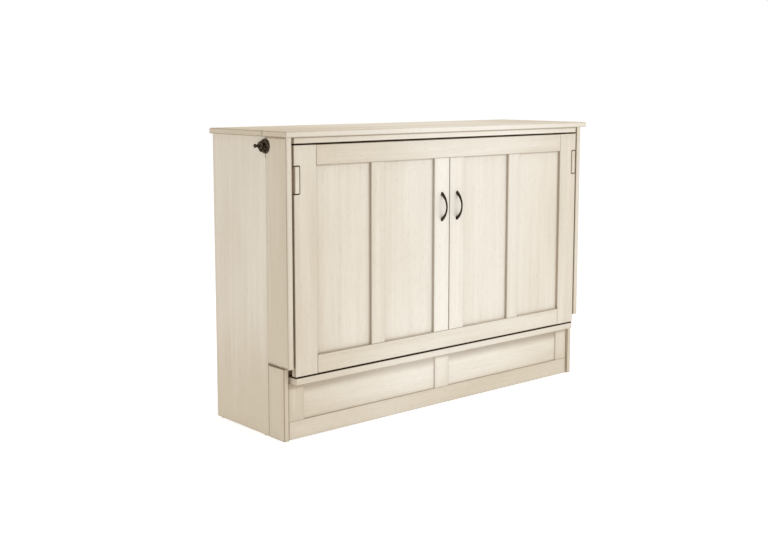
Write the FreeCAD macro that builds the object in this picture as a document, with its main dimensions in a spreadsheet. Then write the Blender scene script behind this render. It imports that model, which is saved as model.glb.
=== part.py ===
"""Cabinet bed: a cabinet whose front section rolls out and folds down to make a bed.

Frame: +X to the right of someone facing the doors, +Y to the rear, +Z up.
The origin is on the floor, under the middle of the closed cabinet. Millimetres.
"""
import FreeCAD, Part
import math
import os
import re
import Sketcher

doc = FreeCAD.newDocument("cabinet_bed")

# How many of each repeated piece there are.
slat_count = 4
section_names = ("front", "middle", "rear")
section_count = len(section_names)

# Driving dimensions, one cell each, grouped by the piece that they belong to.
driving_sizes = {
    # the closed cabinet
    "overall_width": 1632,
    "overall_height": 1168,
    "overall_depth": 496,
    "board": 22,
    "front_depth": 134,
    "seam_gap": 1.2,
    "top_side_overhang": 15,
    "top_front_overhang": 18,
    "top_round": 6,
    "edge_round": 2,
    # back and floor
    "back_thickness": 12,
    "back_groove": 10,
    "back_floor_gap": 40,
    "back_rail_height": 40,
    "back_rail_thickness": 20,
    "lower_rail_floor_gap": 30,
    "glide_height": 4,
    "glide_radius": 9,
    "glide_inset": 30,
    # front panel that looks like two doors
    "wing_bottom": 286,
    "panel_side_gap": 10,
    "apron_height": 24,
    "apron_depth": 20,
    "apron_gap": 6,
    "frame_thickness": 12,
    "backing_thickness": 12,
    "stile_width": 102,
    "top_rail_height": 76,
    "bottom_rail_height": 72,
    "mid_stile_width": 67,
    "centre_stile_width": 81,
    "centre_groove": 4,
    "notch_drop": 73,
    "notch_height": 108,
    "notch_width": 28,
    "notch_round": 5,
    "batten_thickness": 20,
    "batten_height": 44,
    "batten_inset": 40,
    "cleat_width": 20,
    "cleat_gap": 28.5,
    # legs that slide out through the notches
    "leg_thickness": 20,
    "leg_width": 99,
    "leg_length": 330,
    "leg_proud": 2,
    "leg_wing_gap": 13.5,
    "guide_end_gap": 4.5,
    "guide_wall": 12,
    "guide_inner_wall": 3.5,
    "guide_clearance": 0.3,
    # arch pulls
    "pull_height": 120,
    "pull_projection": 32,
    "pull_foot": 17,
    "pull_foot_radius": 7.4,
    "pull_waist_radius": 3.4,
    "pull_drop": 198,
    # ledge and continuous hinge
    "ledge_top": 248,
    "ledge_thickness": 26,
    "ledge_depth": 62,
    "hinge_gap": 6,
    "leaf_width": 18,
    "leaf_thickness": 1.2,
    "knuckle_diameter": 5.4,
    "knuckle_length": 60,
    "knuckle_gap": 0.4,
    "hinge_pin_diameter": 2.4,
    "running_clearance": 0.05,
    # rolling base
    "base_top": 282,
    "base_setback": 33,
    "base_floor_gap": 4,
    "return_clearance": 0.5,
    "base_frame_recess": 7,
    "base_frame_thickness": 5,
    "base_backing_thickness": 17,
    "base_end_gap": 5,
    "base_stile_width": 70,
    "base_centre_width": 78,
    "base_rail_height": 70,
    "base_board": 18,
    "base_board_bottom": 56,
    "base_back_gap": 9,
    "corner_block_depth": 40,
    "corner_block_height": 150,
    # telescoping deck
    "deck_front": 64,
    "deck_back_gap": 2,
    "runner_bottom": 196,
    "inner_runner_top": 230,
    "runner_thickness": 11.5,
    "runner_gap": 0.4,
    "tongue_height": 11.4,
    "tongue_length": 5,
    "tongue_clearance": 0.3,
    "slat_width": 70,
    "slat_thickness": 12,
    "slat_gap": 2,
    "slat_end_clearance": 0.5,
    # casters
    "wheel_diameter": 44,
    "wheel_width": 20,
    "wheel_round": 3,
    "hub_width": 24,
    "hub_radius": 9,
    "axle_diameter": 8,
    "fork_metal": 3,
    "fork_plate_length": 56,
    "fork_cheek_width": 24,
    "fork_side_gap": 0.4,
    "caster_block_width": 50,
    "caster_block_length": 70,
    "caster_block_height": 34,
    "caster_inset": 42,
    # sash-type latch across the seam
    "latch_drop": 36,
    "latch_plate_radius": 28,
    "latch_tail_radius": 14,
    "latch_plate_thickness": 3,
    "latch_setback": 12,
    "latch_post_radius": 4,
    "latch_hub_radius": 12,
    "latch_hub_height": 10,
    "latch_side_gap": 0.3,
    "hook_inner_radius": 18,
    "hook_outer_radius": 23,
    "hook_thickness": 6,
    "knob_radius": 7.5,
    "knob_reach": 23,
    "knob_rise": 18,
    "knob_neck_radius": 4.5,
    "keeper_rib_thickness": 3.5,
    "keeper_rib_height": 7,
    "keeper_rib_length": 10,
    "screw_radius": 3.4,
    "screw_head": 1.6,
    "plate_screw_rise": 17.5,
    "tail_screw_setback": 14,
    "tail_screw_rise": 10,
    "keeper_screw_inset": 12,
    "keeper_screw_rise": 17,
    # folding mattress
    "mattress_side_gap": 6,
    "pillow_room": 200,
    "mattress_gap": 1,
    "mattress_seat": 0.4,
    "mattress_round": 28,
}

# Stations worked out from the driving dimensions. y stations count from the wings' front.
worked_out = {
    "front_y": "-(overall_depth - pull_projection) / 2",
    "half_width": "overall_width / 2",
    "side_inner": "half_width - board",
    "under_top": "overall_height - board",
    "front_rear_y": "front_depth - seam_gap / 2",
    "rear_front_y": "front_depth + seam_gap / 2",
    "back_front_y": "overall_depth - back_thickness",
    "panel_half": "side_inner - panel_side_gap",
    "panel_bottom": "ledge_top + hinge_gap",
    "panel_top": "under_top - apron_height - apron_gap",
    "panel_inner_y": "frame_thickness + backing_thickness",
    "field_top": "panel_top - top_rail_height",
    "pull_level": "field_top - pull_drop",
    "field_bottom": "panel_bottom + bottom_rail_height",
    "stile_inner": "panel_half - stile_width",
    "centre_half": "centre_groove / 2 + centre_stile_width",
    "mid_middle": "(stile_inner + centre_half) / 2",
    "notch_top": "panel_top - notch_drop",
    "notch_bottom": "notch_top - notch_height",
    "notch_edge": "panel_half - notch_width",
    "leg_outer": "side_inner - leg_wing_gap",
    "leg_inner": "leg_outer - leg_thickness",
    "leg_bottom": "(notch_top + notch_bottom - leg_width) / 2",
    "guide_length": "front_rear_y - panel_inner_y - guide_end_gap",
    "cleat_length": "front_rear_y - apron_depth - cleat_gap",
    "hinge_y": "knuckle_diameter / 2 + knuckle_gap",
    "hinge_z": "ledge_top + hinge_gap / 2",
    "base_frame_y": "base_setback + base_frame_recess",
    "base_backing_y": "base_frame_y + base_frame_thickness",
    "base_inner_y": "base_backing_y + base_backing_thickness",
    "base_half": "side_inner - base_end_gap",
    "base_board_rear": "back_front_y - back_rail_thickness - base_back_gap",
    "ledge_bottom": "ledge_top - ledge_thickness",
    "runner_pitch": "runner_thickness + runner_gap",
    "middle_runner_outer": "side_inner - runner_pitch",
    "inner_runner_outer": "middle_runner_outer - runner_pitch",
    "base_board_outer": "inner_runner_outer - runner_thickness",
    "base_board_inner": "base_board_outer - base_board",
    "base_slat_z": "inner_runner_top",
    "middle_slat_z": "base_slat_z + slat_thickness + slat_gap",
    "fixed_slat_z": "middle_slat_z + slat_thickness + slat_gap",
    "deck_top": "fixed_slat_z + slat_thickness",
    "deck_rear": "back_front_y - deck_back_gap",
    "deck_length": "deck_rear - deck_front",
    "slat_pitch": f"(deck_length - slat_width) / {slat_count - 1}",
    "runner_middle_z": "(runner_bottom + inner_runner_top) / 2",
    "groove_height": "tongue_height + 2 * tongue_clearance",
    "groove_depth": "tongue_length + tongue_clearance - runner_gap",
    "wheel_radius": "wheel_diameter / 2",
    "caster_x": "base_board_inner - caster_block_width / 2",
    "caster_front": "base_inner_y + caster_inset",
    "caster_rear": "base_board_rear - base_board - caster_inset",
    "fork_half_gap": "hub_width / 2 + fork_side_gap",
    "latch_y": "front_depth + latch_setback",
    "latch_z": "under_top - latch_drop",
    "knob_y": "latch_y + knob_reach",
    "tail_lean_share": "(latch_plate_radius - latch_tail_radius) / (latch_setback + knob_reach)",
    "tail_upright_share": "sqrt(1 - tail_lean_share ^ 2)",
    "mattress_bottom": "deck_top + mattress_seat",
    "mattress_width": "2 * (leg_inner - mattress_side_gap)",
    "mattress_thickness": f"(deck_length - {section_count + 1} * mattress_gap) / {section_count}",
    "mattress_length": "under_top - pillow_room - mattress_bottom",
    "mattress_pitch": "mattress_thickness + mattress_gap",
    "mattress_y": "deck_front + mattress_gap",
}

sheet = doc.addObject("Spreadsheet::Sheet", "size")
row = 0
for alias, number in driving_sizes.items():
    row = row + 1
    sheet.set(f"A{row}", str(number))
    sheet.setAlias(f"A{row}", alias)
for alias, formula in worked_out.items():
    row = row + 1
    sheet.set(f"A{row}", "=" + formula)
    sheet.setAlias(f"A{row}", alias)
doc.recompute()

known_names = set(driving_sizes) | set(worked_out)
sub_parts = []


def linked(formula):
    """The formula with each name written as a reference to the spreadsheet."""
    return re.sub(r"[a-z]\w*", lambda word: "size." + word.group() if word.group() in known_names
                  else word.group(), formula)


def value(formula):
    """The formula's number for the present sizes."""
    return float(sheet.evalExpression(linked(formula)))


def bind(item, **formulas):
    """Bind properties of an object, such as Length, to formulas."""
    for name, formula in formulas.items():
        item.setExpression(name, linked(formula))


def place(item, x="0", y="0", z="0"):
    """Bind the object's corner; y counts from the front of the wings."""
    bind(item, **{"Placement.Base.x": x, "Placement.Base.y": f"front_y + {y}", "Placement.Base.z": z})


def keep(item):
    """Note a finished sub-part for the checks and the export."""
    sub_parts.append(item)
    return item


def origin_plane(body, role):
    return [feature for feature in body.Origin.OriginFeatures if feature.Role == role][0]


def outline(body, role, points):
    """A closed sketch through points whose coordinates are bound to formulas."""
    sketch = body.newObject("Sketcher::SketchObject", body.Name + "_outline")
    sketch.AttachmentSupport = [(origin_plane(body, role), "")]
    sketch.MapMode = "FlatFace"
    corners = [FreeCAD.Vector(value(x), value(y), 0) for x, y in points]
    count = len(points)
    for index in range(count):
        sketch.addGeometry(Part.LineSegment(corners[index], corners[(index + 1) % count]))
    for index in range(count):
        sketch.addConstraint(Sketcher.Constraint("Coincident", index, 2, (index + 1) % count, 1))
    for index, (x, y) in enumerate(points):
        for kind, formula, number in (("DistanceX", x, corners[index].x), ("DistanceY", y, corners[index].y)):
            name = f"point{index}{kind[-1]}"
            added = sketch.addConstraint(Sketcher.Constraint(kind, -1, 1, index, 1, number))
            sketch.renameConstraint(added, name)
            sketch.setExpression("Constraints." + name, linked(formula))
    return sketch


def prism(label, role, points, length):
    """A body padded from an outline: up from XY, to the rear from XZ, to the right from YZ."""
    body = doc.addObject("PartDesign::Body", label)
    sketch = outline(body, role, points)
    pad = body.newObject("PartDesign::Pad", label + "_pad")
    pad.Profile = sketch
    pad.Reversed = role == "XZ_Plane"
    bind(pad, Length=length)
    return body


def rectangle(width, height):
    return [("0", "0"), (width, "0"), (width, height), ("0", height)]


def board(label, width, depth, height):
    """A plain board with its low corner at the body's origin."""
    return prism(label, "XY_Plane", rectangle(width, depth), height)


def soften(body, radius, chosen):
    """Round the edges of a body that the test picks from middle, direction and box."""
    doc.recompute()
    base = body.Tip
    box = base.Shape.BoundBox
    names = []
    for index, edge in enumerate(base.Shape.Edges):
        along = edge.tangentAt(edge.FirstParameter)
        middle = edge.BoundBox.Center
        if chosen(middle, along, box):
            names.append(f"Edge{index + 1}")
    fillet = body.newObject("PartDesign::Fillet", body.Name + "_fillet")
    fillet.Base = (base, names)
    bind(fillet, Radius=radius)
    return body


def near(one, other):
    return abs(one - other) < value("running_clearance")


def on_front(middle, along, box):
    return near(middle.y, box.YMin)


def on_upper_rim(middle, along, box):
    return near(middle.z, box.ZMax)


def group(label, members):
    """Like pieces that share one sub-part as separate solids."""
    compound = doc.addObject("Part::Compound", label)
    compound.Links = members
    return keep(compound)


def block(name, width, depth, height, x, y, z):
    """A box for a group, bound by its sizes and its low corner."""
    box = doc.addObject("Part::Box", name)
    bind(box, Length=width, Width=depth, Height=height)
    place(box, x, y, z)
    return box


def low_corner(side, inner, outer):
    """Low x of a piece between two distances from the middle, on the left or the right."""
    return f"-({outer})" if side == "left" else inner


def crosswise_rod(name, radius, length, x, y, z):
    """A cylinder along X from its low end."""
    rod = doc.addObject("Part::Cylinder", name)
    rod.Placement.Rotation = FreeCAD.Rotation(FreeCAD.Vector(0, 1, 0), 90)
    bind(rod, Radius=radius, Height=length)
    place(rod, x, y, z)
    return rod


def cut(name, base, tool):
    result = doc.addObject("Part::Cut", name)
    result.Base = base
    result.Tool = tool
    return result


def fuse(name, members):
    result = doc.addObject("Part::MultiFuse", name)
    result.Shapes = members
    return result


sides = ("left", "right")

# Rear cabinet: the two sides stand on glides and take the back panel in a rebate.
for side in sides:
    sign = "-" if side == "left" else ""
    rear_side = prism(f"{side}_side", "XY_Plane", [
        (f"{sign}half_width", "rear_front_y"),
        (f"{sign}half_width", "overall_depth"),
        (f"{sign}(side_inner + back_groove)", "overall_depth"),
        (f"{sign}(side_inner + back_groove)", "back_front_y"),
        (f"{sign}side_inner", "back_front_y"),
        (f"{sign}side_inner", "rear_front_y"),
    ], "under_top - glide_height")
    place(rear_side, z="glide_height")
    keep(rear_side)

back_panel = board("back_panel", "2 * (side_inner + back_groove)", "back_thickness",
                   "under_top - back_floor_gap")
place(back_panel, "-(side_inner + back_groove)", "back_front_y", "back_floor_gap")
keep(back_panel)

group("back_rails", [
    block("upper_back_rail", "2 * side_inner", "back_rail_thickness", "back_rail_height",
          "-side_inner", "back_front_y - back_rail_thickness", "under_top - back_rail_height"),
    block("lower_back_rail", "2 * side_inner", "back_rail_thickness", "back_rail_height",
          "-side_inner", "back_front_y - back_rail_thickness", "back_floor_gap + lower_rail_floor_gap"),
])

glides = []
for side in sides:
    sign = "-" if side == "left" else ""
    for end, glide_y in (("front", "rear_front_y + glide_inset"), ("rear", "overall_depth - glide_inset")):
        glide = doc.addObject("Part::Cylinder", f"{side}_{end}_glide")
        bind(glide, Radius="glide_radius", Height="glide_height")
        place(glide, f"{sign}(half_width - board / 2)", glide_y)
        glides.append(glide)
group("glides", glides)

# Top: one board sawn in two at the seam, with rounded rims.
rear_top = board("rear_top", "overall_width + 2 * top_side_overhang", "overall_depth - rear_front_y", "board")
soften(rear_top, "top_round",
       lambda middle, along, box: on_upper_rim(middle, along, box) and not near(middle.y, box.YMin))
place(rear_top, "-(half_width + top_side_overhang)", "rear_front_y", "under_top")
keep(rear_top)

front_top = board("front_top", "overall_width + 2 * top_side_overhang",
                  "front_rear_y + top_front_overhang", "board")
soften(front_top, "top_round",
       lambda middle, along, box: on_upper_rim(middle, along, box) and not near(middle.y, box.YMax))
place(front_top, "-(half_width + top_side_overhang)", "-top_front_overhang", "under_top")
keep(front_top)

# Front section: wings, apron and the planted frame that looks like two doors.
for side in sides:
    wing = board(f"{side}_wing", "board", "front_rear_y", "under_top - wing_bottom")
    soften(wing, "edge_round", lambda middle, along, box: on_front(middle, along, box)
           and abs(along.z) > abs(along.x))
    place(wing, low_corner(side, "side_inner", "half_width"), "0", "wing_bottom")
    keep(wing)

apron = board("apron", "2 * panel_half", "apron_depth", "apron_height")
soften(apron, "edge_round", lambda middle, along, box: on_front(middle, along, box)
       and near(middle.z, box.ZMin))
place(apron, "-panel_half", "0", "panel_top + apron_gap")
keep(apron)


def notch_side(edge, side):
    """Outline of an outer edge with the leg's notch, from the lower to the upper corner."""
    sign = "-" if side == "left" else ""
    return [(f"{sign}{edge}", "panel_bottom"), (f"{sign}{edge}", "notch_bottom"),
            (f"{sign}notch_edge", "notch_bottom"), (f"{sign}notch_edge", "notch_top"),
            (f"{sign}{edge}", "notch_top"), (f"{sign}{edge}", "panel_top")]


def in_notch(middle, along, box):
    """The upright corner lines at the inner end of a notch."""
    at_notch = near(abs(middle.x), value("notch_edge"))
    return at_notch and abs(along.y) > abs(along.z)


front_backing = prism("front_backing", "XZ_Plane",
                      notch_side("panel_half", "right") + notch_side("panel_half", "left")[::-1],
                      "backing_thickness")
soften(front_backing, "notch_round", in_notch)
place(front_backing, y="frame_thickness")
keep(front_backing)

for side in sides:
    sign = "-" if side == "left" else ""
    stile = prism(f"{side}_stile", "XZ_Plane", [(f"{sign}stile_inner", "panel_top"),
                                                (f"{sign}stile_inner", "panel_bottom")]
                  + notch_side("panel_half", side), "frame_thickness")
    soften(stile, "notch_round", in_notch)
    soften(stile, "edge_round", lambda middle, along, box: on_front(middle, along, box)
           and near(abs(middle.x), value("stile_inner")))
    place(stile)
    keep(stile)

for label, low, height, edge in (("top_rail", "field_top", "top_rail_height", "ZMin"),
                                 ("bottom_rail", "panel_bottom", "bottom_rail_height", "ZMax")):
    rail = board(label, "2 * stile_inner", "frame_thickness", height)
    soften(rail, "edge_round", lambda middle, along, box: on_front(middle, along, box)
           and near(middle.z, getattr(box, edge)))
    place(rail, "-stile_inner", "0", low)
    keep(rail)


def field_stile(name, width, low_x):
    """An upright between the rails, rounded along both front edges."""
    upright = board(name, width, "frame_thickness", "field_top - field_bottom")
    soften(upright, "edge_round", lambda middle, along, box: on_front(middle, along, box)
           and abs(along.z) > abs(along.x))
    place(upright, low_x, "0", "field_bottom")
    return upright


group("mid_stiles", [field_stile(f"{side}_mid_stile", "mid_stile_width",
                                 low_corner(side, "mid_middle - mid_stile_width / 2",
                                            "mid_middle + mid_stile_width / 2"))
                     for side in sides])
group("centre_stiles", [field_stile(f"{side}_centre_stile", "centre_stile_width",
                                    low_corner(side, "centre_groove / 2", "centre_half"))
                        for side in sides])

# Battens and cleats tie the panel and the top to the wings.
group("battens", [block(f"{name}_batten", "2 * side_inner", "batten_thickness", "batten_height",
                        "-side_inner", "panel_inner_y", low)
                  for name, low in (("lower", "wing_bottom + batten_inset"),
                                    ("middle", "(panel_bottom + panel_top - batten_height) / 2"),
                                    ("upper", "notch_top + guide_wall"))])
group("corner_cleats", [block(f"{side}_corner_cleat", "cleat_width", "cleat_length", "cleat_width",
                              low_corner(side, "side_inner - cleat_width", "side_inner"),
                              "front_rear_y - cleat_length", "under_top - cleat_width")
                        for side in sides])

# Leg boards slide out through the notches in square sleeves fixed to the wings.
guides = []
for side in sides:
    sleeve = block(f"{side}_sleeve", "side_inner - leg_inner + guide_clearance + guide_inner_wall",
                   "guide_length", "leg_width + 2 * (guide_clearance + guide_wall)",
                   low_corner(side, "leg_inner - guide_clearance - guide_inner_wall", "side_inner"),
                   "panel_inner_y", "leg_bottom - guide_clearance - guide_wall")
    channel = block(f"{side}_channel", "leg_thickness + 2 * guide_clearance", "guide_length",
                    "leg_width + 2 * guide_clearance",
                    low_corner(side, "leg_inner - guide_clearance", "leg_outer + guide_clearance"),
                    "panel_inner_y", "leg_bottom - guide_clearance")
    guides.append(cut(f"{side}_guide", sleeve, channel))

    leg = board(f"{side}_leg", "leg_thickness", "leg_length", "leg_width")
    soften(leg, "edge_round", on_front)
    place(leg, low_corner(side, "leg_inner", "leg_outer"), "-leg_proud", "leg_bottom")
    keep(leg)
group("leg_guides", guides)

# Arch pulls: a round bow that thickens from its slim waist to two feet cut flat on the stiles.
pull_station_count = 15
past_door_share = 1.25
for side in sides:
    foot_half = value("(pull_height - pull_foot) / 2")
    rise = value("pull_projection - pull_waist_radius")
    bow_radius = (foot_half ** 2 + rise ** 2) / (2 * rise)
    door_turn = math.asin(foot_half / bow_radius)
    waist_radius = value("pull_waist_radius")
    swell = value("pull_foot_radius") - waist_radius
    rings = []
    for station in range(pull_station_count):
        along_share = past_door_share * (2 * station / (pull_station_count - 1) - 1)
        turn = door_turn * along_share
        middle = FreeCAD.Vector(0, bow_radius - rise - bow_radius * math.cos(turn),
                                bow_radius * math.sin(turn))
        ahead = FreeCAD.Vector(0, math.sin(turn), math.cos(turn))
        ring = Part.Circle(middle, ahead, waist_radius + swell * along_share ** 2)
        rings.append(Part.Wire(ring.toShape()))
    bow = doc.addObject("Part::Feature", f"{side}_pull_bow")
    bow.Shape = Part.makeLoft(rings, True)
    pull_x = "(centre_groove + centre_stile_width) / 2"
    place(bow, low_corner(side, pull_x, pull_x), "0", "pull_level")
    behind_face = block(f"{side}_behind_face", "centre_stile_width", "pull_projection", "2 * pull_height",
                        f"{low_corner(side, pull_x, pull_x)} - centre_stile_width / 2", "0",
                        "pull_level - pull_height")
    keep(cut(f"{side}_pull", bow, behind_face))

# Ledge and continuous hinge: the whole front section turns on the pin.
ledge = board("ledge", "2 * panel_half", "ledge_depth", "ledge_thickness")
soften(ledge, "edge_round", on_front)
place(ledge, "-panel_half", "0", "ledge_bottom")
keep(ledge)

knuckle_count = int(value("2 * panel_half") // value("knuckle_length"))
hinge_start = f"-{knuckle_count} * knuckle_length / 2"


def hinge_leaf(label, first, leaf_z, tab_z):
    """A leaf with every second knuckle, each joined to it by a tab."""
    pieces = [block(label + "_strip", f"{knuckle_count} * knuckle_length", "leaf_width", "leaf_thickness",
                    hinge_start, "hinge_y + knuckle_diameter / 2 + knuckle_gap", leaf_z)]
    for index in range(first, knuckle_count, 2):
        start = f"{hinge_start} + {index} * knuckle_length + knuckle_gap / 2"
        length = "knuckle_length - knuckle_gap"
        barrel = crosswise_rod(f"{label}_barrel{index}", "knuckle_diameter / 2", length, start,
                               "hinge_y", "hinge_z")
        tab = block(f"{label}_tab{index}", length, "knuckle_diameter / 2 + 2 * knuckle_gap",
                    "leaf_thickness", start, "hinge_y", tab_z)
        pieces = pieces + [barrel, tab]
    bore = crosswise_rod(label + "_bore", "hinge_pin_diameter / 2 + running_clearance",
                         f"{knuckle_count} * knuckle_length", hinge_start, "hinge_y", "hinge_z")
    return keep(cut(label, fuse(label + "_whole", pieces), bore))


hinge_leaf("hinge_lower_leaf", 0, "ledge_top", "ledge_top")
hinge_leaf("hinge_upper_leaf", 1, "panel_bottom - leaf_thickness", "panel_bottom - leaf_thickness")
keep(crosswise_rod("hinge_pin", "hinge_pin_diameter / 2", f"{knuckle_count} * knuckle_length",
                   hinge_start, "hinge_y", "hinge_z"))

# Rolling base: returns, planted front frame, boards and corner blocks.
for side in sides:
    end_return = board(f"base_{side}_return", "board - return_clearance", "front_rear_y - base_setback",
                       "base_top - base_floor_gap")
    soften(end_return, "edge_round", lambda middle, along, box: on_front(middle, along, box)
           and abs(along.z) > abs(along.x))
    place(end_return, low_corner(side, "side_inner + return_clearance", "half_width"),
          "base_setback", "base_floor_gap")
    keep(end_return)

base_backing = board("base_front_backing", "2 * base_half", "base_backing_thickness",
                     "ledge_bottom - base_floor_gap")
place(base_backing, "-base_half", "base_backing_y", "base_floor_gap")
keep(base_backing)

base_rail = board("base_bottom_rail", "2 * base_half", "base_frame_thickness", "base_rail_height")
soften(base_rail, "edge_round", lambda middle, along, box: on_front(middle, along, box)
       and near(middle.z, box.ZMax))
place(base_rail, "-base_half", "base_frame_y", "base_floor_gap")
keep(base_rail)

base_stiles = []
for name, width, low_x in (("left", "base_stile_width", "-base_half"),
                           ("centre", "base_centre_width", "-base_centre_width / 2"),
                           ("right", "base_stile_width", "base_half - base_stile_width")):
    base_stile = board(f"base_{name}_stile", width, "base_frame_thickness",
                       "ledge_bottom - base_floor_gap - base_rail_height")
    soften(base_stile, "edge_round", lambda middle, along, box: on_front(middle, along, box)
           and abs(along.z) > abs(along.x))
    place(base_stile, low_x, "base_frame_y", "base_floor_gap + base_rail_height")
    base_stiles.append(base_stile)
group("base_stiles", base_stiles)

group("base_boards", [block(f"base_{side}_board", "base_board", "base_board_rear - base_inner_y",
                            "inner_runner_top - base_board_bottom",
                            low_corner(side, "base_board_inner", "base_board_outer"),
                            "base_inner_y", "base_board_bottom")
                      for side in sides]
      + [block("base_stringer", "base_board", "base_board_rear - base_board - base_inner_y",
               "inner_runner_top - base_board_bottom",
               "-base_board / 2", "base_inner_y", "base_board_bottom")])
base_rear_board = board("base_rear_board", "2 * base_board_inner", "base_board",
                        "inner_runner_top - base_board_bottom")
place(base_rear_board, "-base_board_inner", "base_board_rear - base_board", "base_board_bottom")
keep(base_rear_board)

group("corner_blocks", [block(f"{side}_corner_block", "side_inner + return_clearance - base_board_outer",
                              "corner_block_depth", "corner_block_height",
                              low_corner(side, "base_board_outer", "side_inner + return_clearance"),
                              "base_inner_y", "runner_bottom - corner_block_height - slat_gap")
                        for side in sides])


# Three-section runners: a tongued middle rail slides in grooved outer and inner rails.
def runner_pair(label, outer_face, top, grooved_in, grooved_out, tongued):
    """Left and right rail; outlines are read outwards from the middle of the cabinet."""
    rails = []
    groove_low = "runner_middle_z - groove_height / 2"
    groove_high = "runner_middle_z + groove_height / 2"
    tongue_low = "runner_middle_z - tongue_height / 2"
    tongue_high = "runner_middle_z + tongue_height / 2"
    for side in sides:
        sign = "-" if side == "left" else ""
        outer = f"{sign}{outer_face}"
        inner = f"{sign}({outer_face} - runner_thickness)"
        outer_step = []
        inner_step = []
        if grooved_out:
            floor = f"{sign}({outer_face} - groove_depth)"
            outer_step = [(outer, groove_low), (floor, groove_low),
                          (floor, groove_high), (outer, groove_high)]
        if grooved_in:
            floor = f"{sign}({outer_face} - runner_thickness + groove_depth)"
            inner_step = [(inner, groove_high), (floor, groove_high),
                          (floor, groove_low), (inner, groove_low)]
        if tongued:
            tip = f"{sign}({outer_face} + tongue_length)"
            outer_step = [(outer, tongue_low), (tip, tongue_low),
                          (tip, tongue_high), (outer, tongue_high)]
            tip = f"{sign}({outer_face} - runner_thickness - tongue_length)"
            inner_step = [(inner, tongue_high), (tip, tongue_high),
                          (tip, tongue_low), (inner, tongue_low)]
        rail = prism(f"{side}_{label}", "XZ_Plane",
                     [(inner, "runner_bottom"), (outer, "runner_bottom")] + outer_step
                     + [(outer, top), (inner, top)] + inner_step, "deck_length")
        place(rail, y="deck_front")
        rails.append(rail)
    return group(label, rails)


runner_pair("outer_runners", "side_inner", "fixed_slat_z", True, False, False)
runner_pair("middle_runners", "middle_runner_outer", "middle_slat_z", False, False, True)
runner_pair("inner_runners", "inner_runner_outer", "inner_runner_top", False, True, False)

# Three decks of slats, one above the other when the bed is closed.
for label, half, level in (("fixed_slats", "side_inner - slat_end_clearance", "fixed_slat_z"),
                           ("middle_slats", "middle_runner_outer", "middle_slat_z"),
                           ("base_slats", "base_board_outer", "base_slat_z")):
    slats = []
    for index in range(slat_count):
        slats.append(block(f"{label}_{index}", f"2 * ({half})", "slat_width", "slat_thickness",
                           f"-({half})", f"deck_front + {index} * slat_pitch", level))
    group(label, slats)

# Casters under the base: block, fork, axle and wheel at each corner.
full_turn_degrees = 360
caster_blocks = []
forks = []
axles = []
for side in sides:
    sign = "-" if side == "left" else ""
    for end, caster_y in (("front", "caster_front"), ("rear", "caster_rear")):
        spot = f"{side}_{end}"
        block_x = low_corner(side, "base_board_inner - caster_block_width", "base_board_inner")
        caster_blocks.append(block(f"{spot}_caster_block", "caster_block_width", "caster_block_length",
                                   "caster_block_height", block_x,
                                   f"{caster_y} - caster_block_length / 2", "base_board_bottom"))
        fork_half = "fork_half_gap + fork_metal"
        plate = block(f"{spot}_plate", f"2 * ({fork_half})", "fork_plate_length", "fork_metal",
                      f"{sign}caster_x - ({fork_half})", f"{caster_y} - fork_plate_length / 2",
                      "base_board_bottom - fork_metal")
        cheeks = [block(f"{spot}_cheek_{name}", "fork_metal", "fork_cheek_width",
                        "base_board_bottom - wheel_radius + fork_cheek_width / 2",
                        f"{sign}caster_x + {offset}", f"{caster_y} - fork_cheek_width / 2",
                        "wheel_radius - fork_cheek_width / 2")
                  for name, offset in (("a", f"-({fork_half})"), ("b", "fork_half_gap"))]
        hole = crosswise_rod(f"{spot}_fork_hole", "axle_diameter / 2 + running_clearance",
                             f"2 * ({fork_half})", f"{sign}caster_x - ({fork_half})", caster_y,
                             "wheel_radius")
        forks.append(cut(f"{spot}_fork", fuse(f"{spot}_fork_whole", [plate] + cheeks), hole))
        axles.append(crosswise_rod(f"{spot}_axle", "axle_diameter / 2", f"2 * ({fork_half})",
                                   f"{sign}caster_x - ({fork_half})", caster_y, "wheel_radius"))

        wheel = doc.addObject("PartDesign::Body", f"{spot}_wheel")
        bore = "axle_diameter / 2 + running_clearance"
        half_section = outline(wheel, "XY_Plane", [
            ("-hub_width / 2", bore), ("hub_width / 2", bore), ("hub_width / 2", "hub_radius"),
            ("wheel_width / 2", "hub_radius"), ("wheel_width / 2", "wheel_radius - wheel_round"),
            ("wheel_width / 2 - wheel_round", "wheel_radius"),
            ("wheel_round - wheel_width / 2", "wheel_radius"),
            ("-wheel_width / 2", "wheel_radius - wheel_round"), ("-wheel_width / 2", "hub_radius"),
            ("-hub_width / 2", "hub_radius"),
        ])
        tyre_turn = wheel.newObject("PartDesign::Revolution", f"{spot}_wheel_turn")
        tyre_turn.Profile = half_section
        tyre_turn.ReferenceAxis = (half_section, ["H_Axis"])
        tyre_turn.Angle = full_turn_degrees
        place(wheel, f"{sign}caster_x", caster_y, "wheel_radius")
        keep(wheel)
group("caster_blocks", caster_blocks)
group("caster_forks", forks)
group("caster_axles", axles)

# Sash-type latches: a turning hook on the rear side reaches round a rib on the wing.
hook_start_degrees = -35
hook_span_degrees = 95
arm_start_degrees = 40
arm_span_degrees = 20


def latch_rod(name, side, radius, inner, outer, y="latch_y", z="latch_z", start=0, span=full_turn_degrees):
    """A disc or sector about X between two distances from the middle; angles start straight down."""
    rod = crosswise_rod(name, radius, f"({outer}) - ({inner})", low_corner(side, inner, outer), y, z)
    rod.Angle = span
    turn = FreeCAD.Rotation(FreeCAD.Vector(1, 0, 0), start)
    rod.Placement.Rotation = turn.multiply(rod.Placement.Rotation)
    return rod


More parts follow.
